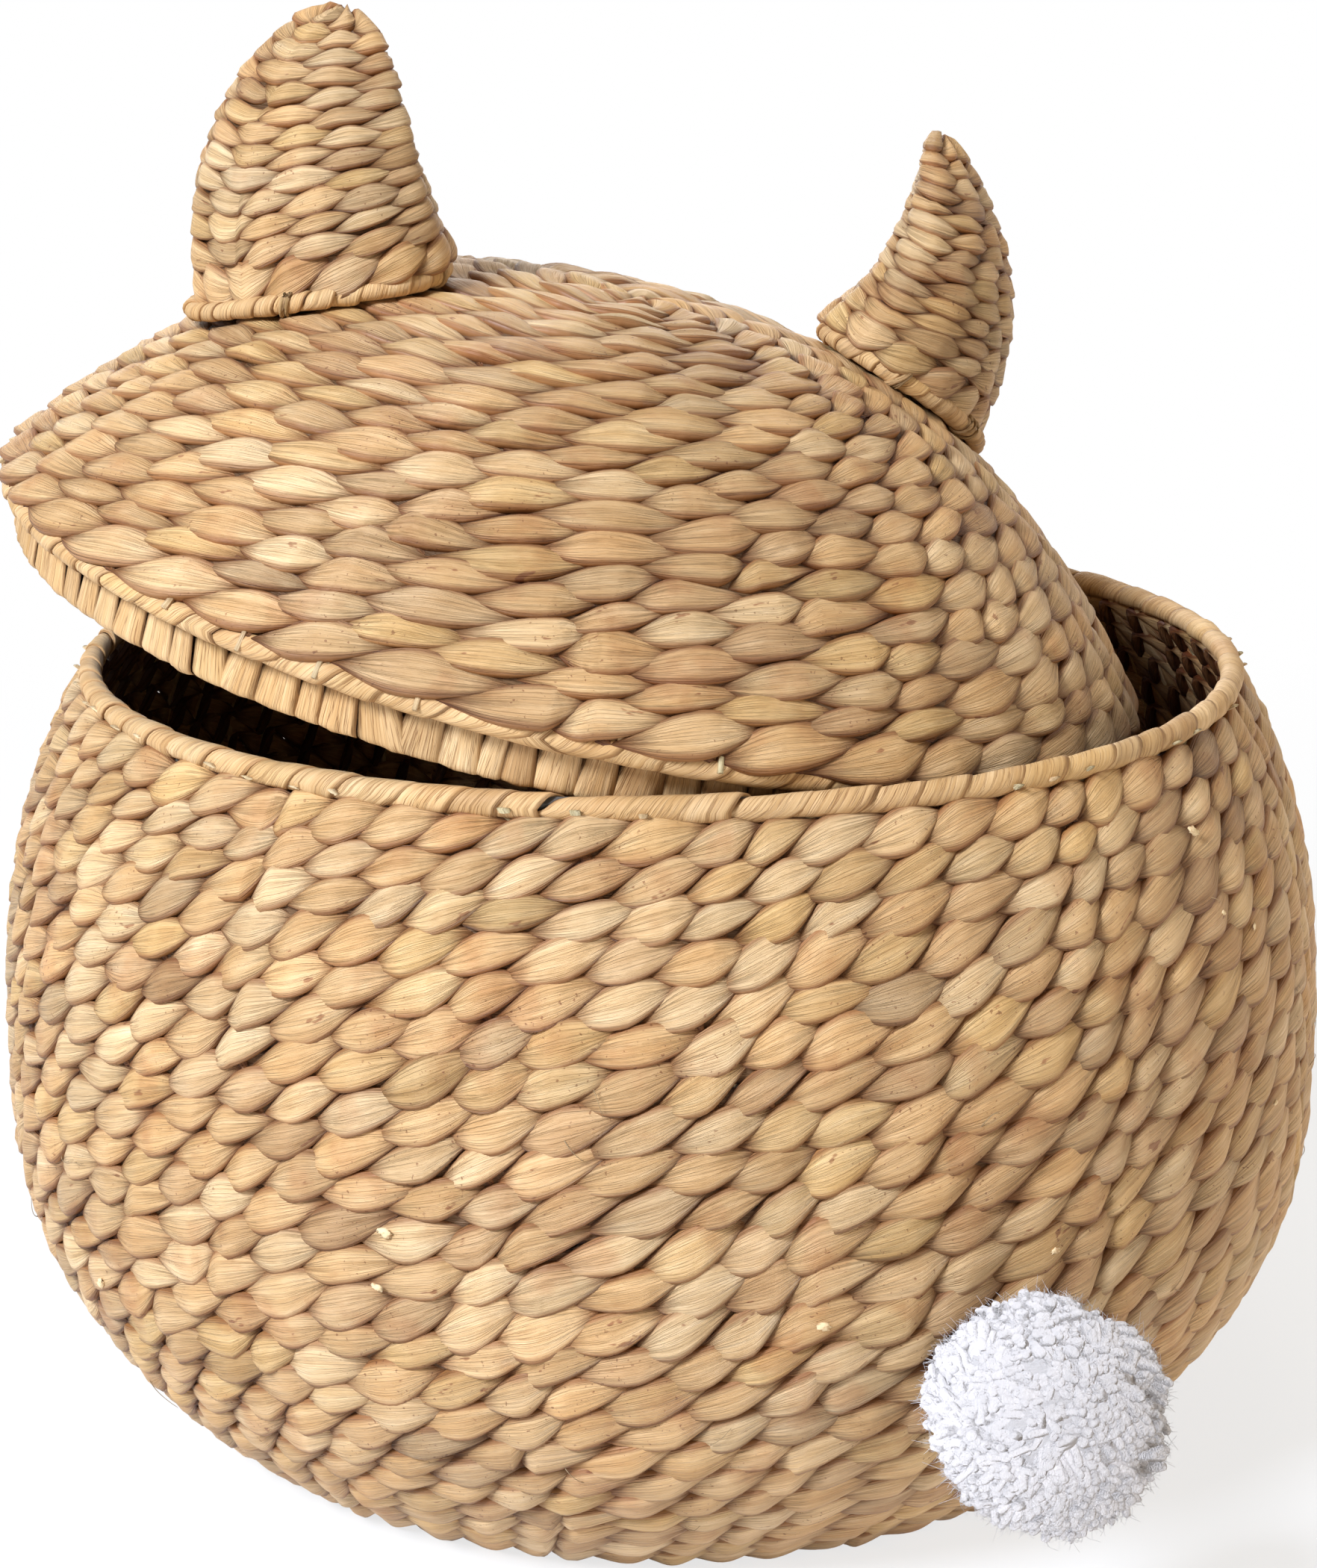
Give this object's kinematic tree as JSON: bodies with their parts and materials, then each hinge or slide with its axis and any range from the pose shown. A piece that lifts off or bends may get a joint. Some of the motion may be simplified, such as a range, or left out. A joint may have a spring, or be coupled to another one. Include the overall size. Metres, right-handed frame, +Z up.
{
  "type": "lidded storage basket",
  "caption": "Round twined storage basket: a bulging body with a wrapped rim and a pompom tail, and a loose domed lid with woven ears and a collar that drops into the mouth.",
  "frame": {"origin": "centre of the basket's flat base, on the floor", "axes": "+Z up, -Y towards the pompom tail, +X towards the rabbit's right ear"},
  "size_m": [0.4376, 0.5031, 0.4538],
  "materials": {
    "woven_fibre": "twined dried plant fibre, satin, with darker patches",
    "wrapped_strip": "flat strips of dried plant fibre, wrapped",
    "hoop_wire": "dull iron wire",
    "white_yarn": "soft white yarn"
  },
  "bodies": {
    "basket": {"basket_base": "woven_fibre", "basket_wall": "woven_fibre", "base_hoop": "hoop_wire", "rim_hoop": "hoop_wire", "rim_binding": "wrapped_strip", "tail_pompom": "white_yarn", "tail_tie": "white_yarn"},
    "lid": {"lid_dome": "woven_fibre", "lid_hoop": "hoop_wire", "lid_binding": "wrapped_strip", "collar_upper_hoop": "hoop_wire", "collar_lower_hoop": "hoop_wire", "collar_wrap": "wrapped_strip", "ear_left": "woven_fibre", "ear_left_wire": "hoop_wire", "ear_left_binding": "wrapped_strip", "ear_right": "woven_fibre", "ear_right_wire": "hoop_wire", "ear_right_binding": "wrapped_strip"}
  },
  "joints": [
    {"name": "lid_lift", "type": "slide", "parent": "basket", "child": "lid", "axis": [0, 0, 1], "range_m": [0, 0.2]}
  ]
}
